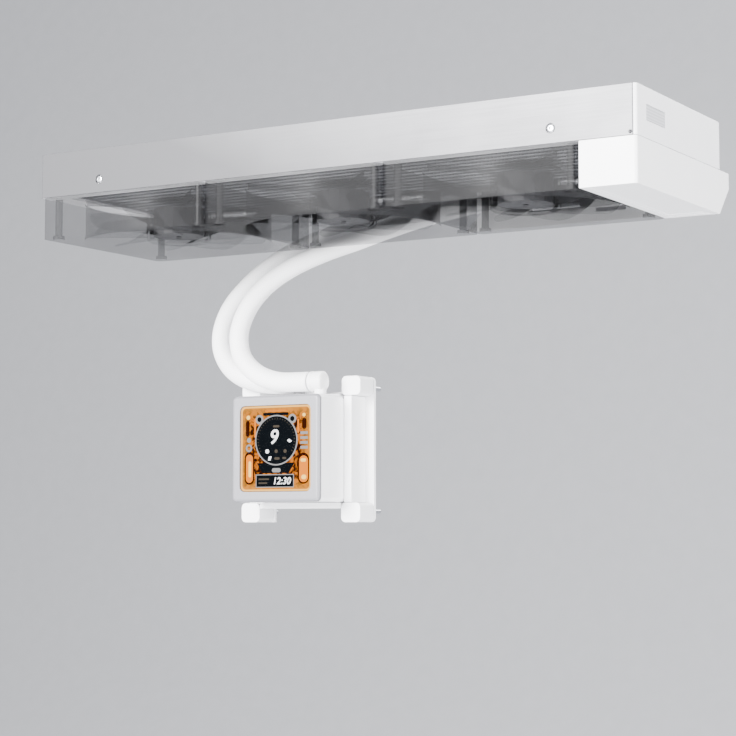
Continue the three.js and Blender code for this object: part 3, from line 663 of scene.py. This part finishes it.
def add_rails():
    for node, web, side in (("near_rail", -58.5, -1), ("far_rail", 60, 1)):
        inner, lip = web - side * FLANGE, web - side * SHEET
        outline = [(RAD_LEFT, y, z) for y, z in (
            (web, 0), (inner, 0), (inner, -SHEET), (lip, -SHEET), (lip, SHEET - RAD_DEPTH),
            (inner, SHEET - RAD_DEPTH), (inner, -RAD_DEPTH), (web, -RAD_DEPTH))]
        rail = pushed(node + "_folded", outline, (RAIL_END - RAD_LEFT, 0, 0))
        centres = [(x + s * FAN_HOLE, side * FAN_HOLE, 0) for x in FAN_CENTRES for s in (-1, 1)]
        boolean(rail, holes("screw_holes", "z", 2, -RAD_DEPTH - 1, 1, centres))
        if side > 0:
            boolean(rail, cylinder("fitting_hole", "y", 5, 50, 70, (190, 0, -14)))
        else:
            boolean(rail, holes("trim_holes", "y", 1.5, -70, -50, TRIM_SCREWS))
            boolean(rail, cylinder("drain", "y", 1.2, -70, -50, DRAIN))
        stand_in(soften(rail, 0.3, 2, 40), ENAMEL, node)


def add_trim():
    strip = block("trim_plate_brushed", (RAD_LEFT, -60, -RAD_DEPTH), (RAIL_END, SHEET - 60, 0))
    boolean(strip, holes("screw_holes", "y", 2.6, -70, -50, TRIM_SCREWS))
    boolean(strip, cylinder("drain", "y", 0.9, -70, -50, DRAIN))
    stand_in(soften(strip, 0.35, 3, 40), TRIM, "trim_plate")
    seat = -58.7
    for number, place in enumerate(TRIM_SCREWS, 1):
        head = turned(f"trim_screw_turned_{number}", "y", [
            (0, seat + 1.4), (1.2, seat + 1.4), (1.2, seat - 0.3), (2.35, seat - 0.3), (2.25, seat - 0.9),
            (1.8, seat - 1.15), (0, seat - 1.3)], place, 32)
        boolean(head, cylinder("socket", "y", 0.95, seat - 2, seat - 0.5, place, 6))
        stand_in(soften(head, 0.08, 2, 40), STEEL, f"trim_screw_{number}")


def add_tanks():
    stand_in(soften(from_cad("left_tank"), 0.6, 3), ENAMEL, "left_tank")
    stand_in(soften(from_cad("right_tank"), 0.5, 3), ENAMEL, "right_tank")
    stand_in(soften(from_cad("fill_plug"), 0.2, 2), STEEL, "fill_plug")
    stand_in(soften(from_cad("end_label"), 0.08, 1), LABEL, "end_label")


FIN_PITCH = 2.4
TUBE_PITCH = (58.5 + 57.0) / 13


def add_core():
    left, right, near, far = -165.7, 177.7, -57.0, 58.5
    start = left + 2
    clear = 1.0
    fold = drawn("fin_pack", [
        (start, near + clear, -3), (start + FIN_PITCH / 2, near + TUBE_PITCH - clear, -3),
        (start + FIN_PITCH, near + clear, -3)])

    def raise_wall(mesh):
        bpy.ops.mesh.select_mode(type="EDGE")
        bpy.ops.mesh.select_all(action="SELECT")
        bpy.ops.mesh.extrude_region_move(TRANSFORM_OT_translate={"value": (0, 0, -21 * MM)})

    edit(fold, raise_wall)
    modify(fold, "SOLIDIFY", thickness=0.16 * MM, offset=0)
    modify(fold, "ARRAY", count=int((right - left - 4) / FIN_PITCH), use_relative_offset=False,
           use_constant_offset=True, constant_offset_displace=(FIN_PITCH * MM, 0, 0))
    modify(fold, "ARRAY", count=13, use_relative_offset=False, use_constant_offset=True,
           constant_offset_displace=(0, TUBE_PITCH * MM, 0))
    stand_in(fold, FOIL, "fin_core")
    middle = near + TUBE_PITCH
    tube = block("flat_tubes", (left + 1, middle - 1, -24.5), (right - 1, middle + 1, -2.5))
    soften(tube, 0.9, 4, 40)
    modify(tube, "ARRAY", count=12, use_relative_offset=False, use_constant_offset=True,
           constant_offset_displace=(0, TUBE_PITCH * MM, 0))
    headers = [block("header", (x, near, -25.5), (x + 2, far, -1.5)) for x in (left, right - 2)]
    finish(gather("flat_tubes", [tube] + [soften(h, 0.4) for h in headers]), FOIL, "cooler",
           ("fin_core",))


# ---- end block and hose cover ------------------------------------------------------------------
def add_block():
    # Its underside has a shallow sunk panel, with a deeper step inside it.
    body = from_cad("end_block")
    boolean(body, block("pocket", (186.5, -52, -54), (207.5, 50, -51.6)))
    boolean(body, block("shallow_pocket", (184.5, -56, -54), (209.8, 54, -51.95)))
    stand_in(soften(body, 0.5, 4), WHITE, "end_block")
    stand_in(soften(from_cad("hose_cover"), 0.25, 2), WHITE, "hose_cover")
    stand_in(soften(from_cad("hose_manifold"), 0.4, 2), NYLON, "hose_manifold")


# ---- fans --------------------------------------------------------------------------------------
def upright_edges(edge):
    a, b = (v.co for v in edge.verts)
    return abs(a.z - b.z) > 5 * MM and abs(a.x - b.x) < 0.01 * MM and abs(a.y - b.y) < 0.01 * MM


def fan_frame():
    frame_body = block("fan_frame", (-FAN_HALF, -FAN_HALF, FAN_BOTTOM), (FAN_HALF, FAN_HALF, FAN_TOP))

    def round_corners(mesh):
        pick(mesh, edges=upright_edges)
        bpy.ops.mesh.bevel(offset=4 * MM, segments=8, affect="EDGES")

    edit(frame_body, round_corners)
    bore = turned("bore", "z", [
        (0, FAN_BOTTOM - 1), (59.3, FAN_BOTTOM - 1), (59, FAN_BOTTOM), (58.2, FAN_BOTTOM + 1.2),
        (57.6, FAN_BOTTOM + 4), (57.6, FAN_TOP - 3), (58.6, FAN_TOP), (58.8, FAN_TOP + 1),
        (0, FAN_TOP + 1)], (0, 0, 0), 96)
    boolean(frame_body, bore)
    corners = [(sx * FAN_HOLE, sy * FAN_HOLE, 0) for sx in (-1, 1) for sy in (-1, 1)]
    boolean(frame_body, holes("screw_holes", "z", 2.2, FAN_BOTTOM - 1, FAN_TOP + 1, corners, 24))
    boolean(frame_body, holes("counterbores", "z", 3.6, FAN_BOTTOM - 1, FAN_BOTTOM + 2.2, corners, 32))
    struts = [cylinder("motor_seat", "z", HUB_R, FAN_TOP - 3, FAN_TOP, (0, 0, 0), 64)]
    for angle in (45, 135, 225, 315):
        bar = block("strut", (18, -2, FAN_TOP - 3), (58.4, 2, FAN_TOP - 0.02))
        bar.data.transform(Matrix.Rotation(math.radians(angle), 4, "Z"))
        struts.append(bar)
    for part in struts:
        boolean(frame_body, part, "UNION")
    return soften(frame_body, 0.35, 2, 40)


def blade():
    """One blade as a thin cambered sheet, pitched at the root and flatter at the tip."""
    bpy.ops.mesh.primitive_grid_add(x_subdivisions=10, y_subdivisions=8, size=2, location=(0, 0, 0))
    obj = take(bpy.context.active_object)
    for v in obj.data.vertices:
        across, out = v.co.x, (v.co.y + 1) / 2
        radius = 19.2 + out * 36.8
        chord = 11.5 + 3.5 * out
        pitch = math.radians(40 - 14 * out)
        lean = math.radians(10 * out * out)
        run, rise = chord * across, 2.4 * (1 - across * across)
        turn = (run * math.cos(pitch) + rise * math.sin(pitch)) / radius + lean
        height = run * math.sin(pitch) - rise * math.cos(pitch)
        v.co = Vector((radius * math.sin(turn), radius * math.cos(turn), 0)) * MM
        v.co.z = (min(max(height, -8.4), 8.4) - 42.1) * MM
    modify(obj, "SOLIDIFY", thickness=1.3 * MM, offset=0)
    return modify(obj, "SUBSURF", levels=1, render_levels=1)


def fan_hub():
    bottom, top = FAN_BOTTOM + 0.8, FAN_TOP - 4.6
    hub = turned("fan_hub", "z", [
        (0, bottom), (13.4, bottom), (13.8, bottom + 0.5), (14.2, bottom + 0.5), (14.6, bottom), (16, bottom),
        (18.2, bottom + 0.3), (19.5, bottom + 1.2), (HUB_R, bottom + 2.6), (HUB_R, top), (18.2, top),
        (18.2, bottom + 2.4), (1.5, bottom + 2.4), (1.5, FAN_TOP - 2), (0, FAN_TOP - 2)], (0, 0, 0), 64)
    return soften(hub, 0.2, 2, 40)


def fan_blades():
    first = blade()
    blades = [copy_of(first, "blade", turn=Matrix.Rotation(i / BLADES * TURN, 4, "Z"))
              for i in range(BLADES)]
    bpy.data.objects.remove(first)
    ring = take(gather("fan_blades", blades))
    bpy.ops.object.shade_smooth_by_angle(angle=math.radians(40))
    return ring


def add_fans():
    shell, hub, blades = fan_frame(), fan_hub(), fan_blades()
    for number, x in enumerate(FAN_CENTRES, 1):
        node = f"fan_rotor_{number}"
        stand_in(copy_of(shell, f"fan_frame_moulded_{number}", (x, 0, 0)), SMOKE_FRAME, f"fan_frame_{number}")
        stand_in(copy_of(blades, f"fan_blades_{number}", (x, 0, 0)), SMOKE_ROTOR, node)
        stand_in(copy_of(hub, f"fan_hub_{number}", (x, 0, 0)), SMOKE_ROTOR, node)
    for tool in (shell, hub, blades):
        bpy.data.objects.remove(tool)


# ---- pump head ---------------------------------------------------------------------------------
def front_rim(edge):
    """The outer edge of the display's front face."""
    ends = [v.co / MM - PUMP for v in edge.verts]
    return all(e.y < 35.05 and max(abs(e.x), abs(e.z)) > 28.5 for e in ends)


def round_front(mesh):
    pick(mesh, edges=front_rim)
    bpy.ops.mesh.bevel(offset=2.2 * MM, segments=6, affect="EDGES")


def add_pump():
    stand_in(soften(from_cad("pump_cover"), 0.7, 3), WHITE, "pump_cover")
    bezel = edit(from_cad("display_bezel"), round_front)
    stand_in(soften(bezel, 0.2, 2), BEZEL, "display_bezel")
    stand_in(soften(from_cad("mount_bracket"), 0.6, 3), WHITE, "mount_bracket")
    stand_in(soften(from_cad("cold_plate"), 0.4, 2), COPPER, "cold_plate")
    stand_in(soften(from_cad("pump_body"), 0.5, 2), NYLON, "pump_body")
    for number in "1234":
        stand_in(soften(from_cad("screw_cap_" + number), 1.4, 4), WHITE, "screw_cap_" + number)


# ---- display -----------------------------------------------------------------------------------
SCREEN_Y = 36.1
INK = glow("dark_display_field", "#1a2026", 0.8)
LIT_WHITE = glow("lit_white_display", "#ffffff", 4)
LIT_GREY = glow("lit_grey_display", "#b3b1b2", 1.8)
LIT_DIM = glow("lit_dim_display", "#8f8272", 0.7)
LIT_ORANGE = glow("lit_orange_display", "#ff8a1c", 2.4)
LIT_YELLOW = glow("lit_yellow_display", "#ffce6a", 3.6)
LIT_EDGE = glow("lit_amber_border", "#ffbc62", 3)
LIT_BROWN = glow("lit_brown_display", "#5a2206", 0.8)
DIAL = (0.4, 5.1)


def on_screen(points):
    """Screen points, right and up from its centre in mm, on the panel."""
    return [(PUMP.x + u, SCREEN_Y, PUMP.z + v) for u, v in points]


def circle(u, v, radius, count=48):
    return [(u + radius * math.cos(i / count * TURN), v + radius * math.sin(i / count * TURN))
            for i in range(count)]


def bar(u0, v0, u1, v1):
    return [(u0, v0), (u1, v0), (u1, v1), (u0, v1)]


def rounded(u, v, half_u, half_v, radius=None, steps=8):
    """A rectangle with round corners, or a pill if no radius is given."""
    r = radius or min(half_u, half_v)
    points = []
    for quarter, (su, sv) in enumerate(((1, 1), (-1, 1), (-1, -1), (1, -1))):
        for i in range(steps + 1):
            t = (quarter + i / steps) * TURN / 4
            points.append((u + su * (half_u - r) + r * math.cos(t), v + sv * (half_v - r) + r * math.sin(t)))
    return points


def plate(points, layer):
    """A thin plate on the screen, whose layer number sets how far it stands forward."""
    return pushed("plate", on_screen(points), (0, -0.03 * layer, 0))


def hoop(outer, inner, layer):
    """A plate with a hole in it."""
    hole = pushed("hole", [(x, y + 0.5, z) for x, y, z in on_screen(inner)], (0, -2, 0))
    return boolean(plate(outer, layer), hole)


def numerals(text, u, v, height, layer):
    """Plain slanted numerals, made a mesh and then set on the screen."""
    data = bpy.data.curves.new("numerals", "FONT")
    data.body, data.size, data.extrude, data.shear = text, height * MM, 0.015 * layer * MM, 0.2
    data.align_x, data.align_y, data.offset = "CENTER", "CENTER", 0.012 * height * MM
    obj = bpy.data.objects.new("numerals", data)
    bpy.context.collection.objects.link(obj)
    take(obj)
    bpy.ops.object.convert(target="MESH")
    obj = bpy.context.active_object
    obj.data.transform(Matrix.Rotation(math.pi / 2, 4, "X"))
    place = Vector((PUMP.x + u, SCREEN_Y - 0.015 * layer, PUMP.z + v)) * MM
    obj.data.transform(Matrix.Translation(place))
    return obj


def show(name, mat, parts):
    """Joins the parts of one colour into a piece of the picture."""
    return finish(gather(name, parts), mat, "cooler")


def add_dial():
    u, v = DIAL
    show("screen_dial", INK, [plate(circle(u, v, 15.2, 96), 4)])
    show("screen_dial_rim", LIT_GREY, [hoop(circle(u, v, 15.7, 96), circle(u, v, 14.9, 96), 5)])
    middle, count = Vector(DIAL), 30
    marks = []
    for i in range(count):
        t = math.radians(-30 + i * 240 / (count - 1))
        out, along = Vector((math.cos(t), math.sin(t))), Vector((-math.sin(t), math.cos(t)))
        marks.append(plate([tuple(middle + out * r + along * w) for r, w in bar(13, -0.16, 14, 0.16)], 5))
    show("screen_dial_marks", LIT_DIM, marks + [
        plate(rounded(u, v + 8.6, 2.4, 0.7), 5), plate(circle(u, v - 6.9, 1.2, 24), 5),
        plate(circle(u + 6.6, v - 6.9, 1.2, 24), 5), plate(rounded(u + 0.6, v - 11.4, 2, 0.8), 5),
        plate(rounded(u + 6, v - 11.2, 1.5, 0.7), 5)])
    drop = circle(u - 6.6, v - 6.9, 1.3, 24)
    slant = [(u - 6, v - 12.6), (u - 4.2, v - 12.4), (u - 3.4, v - 10), (u - 5.4, v - 10.2)]
    tag = [(u + 8, v - 0.4), (u + 10, v - 1.6), (u + 11.6, v - 0.8), (u + 9.6, v + 0.6)]
    show("screen_dial_reading", LIT_WHITE, [numerals("9", u - 2.2, v + 1.6, 12.6, 5)]
         + [plate(shape, 5) for shape in (drop, slant, tag)])


def add_display():
    stand_in(soften(from_cad("display_panel"), 0.1, 1), AMBER, "display_panel")
    stand_in(soften(from_cad("display_glass"), 0.15, 2), GLASS, "display_glass")
    show("screen_border", LIT_EDGE, [hoop(rounded(0, 0, 26, 26.5, 3.1), rounded(0, 0, 24.9, 25.4, 2.6), 2)])
    show("screen_ears", LIT_GREY, [hoop(circle(s * 12.2, 18.2, 2.9), circle(s * 12.2, 18.2, 1.6), 3)
                                   for s in (-1, 1)] + [
        plate(bar(18.2, v, 23.6, v + 1.7), 3) for v in (8.4, 5.4, 2.4, -0.6)] + [
        plate(circle(-20, 5.4, 1.5, 24), 3), hoop(circle(-20, 0.4, 2.4), circle(-20, 0.4, 1.3), 3),
        plate(rounded(0.5, -13.6, 3.2, 1.3), 4)])
    show("screen_shadows", INK, [plate(circle(s * 12.2, 18.2, 1.7), 2) for s in (-1, 1)] + [
        plate(rounded(0, 21.4, 9.5, 0.9), 2),
        plate([(-14, -9), (14, -9), (9.6, -15.4), (-9.6, -15.4)], 2)])
    wells = ((-19.6, -12.2, 3.6, 10.2), (20.4, -12.6, 4.2, 9.6), (-21, 12.6, 1.4, 5), (21, 15, 1.6, 3.4))
    show("screen_wells", LIT_BROWN, [plate(rounded(*well), 2) for well in wells])
    tubes = ((-19.6, -12.4, 2.6, 8.8), (20.6, -13, 3.2, 8.2), (-15.4, 13, 0.6, 6), (16.6, 13.6, 0.6, 4.4),
             (0, 23.4, 8, 0.5))
    show("screen_tubes", LIT_ORANGE, [plate(rounded(*tube), 3) for tube in tubes])
    cores = [rounded(-19.2, -12.8, 1, 5), rounded(20.4, -7.6, 2, 1), rounded(20.8, -18, 1.8, 1.4),
             circle(-20.6, 19.6, 1.3, 24), circle(20.8, 20.4, 1.1, 24)]
    show("screen_tube_cores", LIT_YELLOW, [plate(core, 4) for core in cores])
    add_dial()
    show("screen_clock_rim", LIT_GREY, [plate(bar(-14.7, -24.3, 13.5, -16.1), 3)])
    show("screen_clock_field", INK, [plate(bar(-14.2, -23.8, 13, -16.6), 4)])
    show("screen_clock", LIT_WHITE, [numerals("12:30", 4.4, -20.4, 6, 5)])
    show("screen_clock_rows", LIT_DIM, [plate(bar(-12.6, v, -5.4 + w, v + 1), 5)
                                        for v, w in ((-19.6, 0.6), (-22, -0.8))])


def finish_cad_nodes():
    """CAD nodes whose shape is already right get their material."""
    chosen = {"steel": STEEL, "copper_wire": WIRE, "rubber": RUBBER, "board": BOARD, "dark_plastic": NYLON,
              "white_fitting": GLOSS, "copper": COPPER}
    for name, obj in frame["nodes"].items():
        mat = MOTOR if name.startswith("fan_motor") else chosen.get(SLOT_OF[name])
        if mat:
            obj.material_slots[0].material = mat


add_hoses()
add_fittings()
add_rails()
add_trim()
add_tanks()
add_core()
add_block()
add_fans()
add_pump()
add_display()
finish_cad_nodes()


# ---- studio ------------------------------------------------------------------------------------
def add_stage():
    # Matt seamless paper, pale grey: an even ground with no pattern to compete with the object.
    paper, shader = surface("matt_seamless_paper", "#b3b4b8", 0.9)
    grain(paper, shader, 2, 0.02, ("#b5b6ba", "#b1b2b6"), (0.85, 0.95))
    profile = [(4200, 3500), (3600, 600), (3300, -600), (2700, -1250), (1900, -1500), (-5000, -1500)]
    back = [(y, z - 20) for y, z in reversed(profile)]
    floor = pushed("studio_floor", [(-7000, y, z) for y, z in profile + back], (14000, 0, 0))
    take(floor)
    bpy.ops.object.shade_smooth_by_angle(angle=math.radians(60))
    floor.data.materials.append(paper)


def add_light(name, place, aim, size, power):
    data = bpy.data.lights.new(name, "AREA")
    data.shape, data.size, data.energy = "SQUARE", size, power
    lamp = bpy.data.objects.new(name, data)
    lamp.location = place
    lamp.rotation_euler = (Vector(aim) - Vector(place)).to_track_quat("-Z", "Y").to_euler()
    bpy.context.collection.objects.link(lamp)


def add_studio():
    add_stage()
    world = bpy.data.worlds.new("studio")
    world.use_nodes = True
    world.node_tree.nodes["Background"].inputs[0].default_value = linear("#f4f5f8")
    world.node_tree.nodes["Background"].inputs[1].default_value = 0.8
    bpy.context.scene.world = world
    aim = (0, 0, -0.1)
    add_light("key", (-0.5, -2.4, 0.55), aim, 1.1, 420)
    add_light("fill", (2.3, -0.6, 0.2), aim, 1.5, 150)
    add_light("under", (0.2, -0.9, -1.3), aim, 1.2, 48)
    add_light("rim", (0.4, 1.9, 1.2), aim, 1.2, 50)


add_studio()
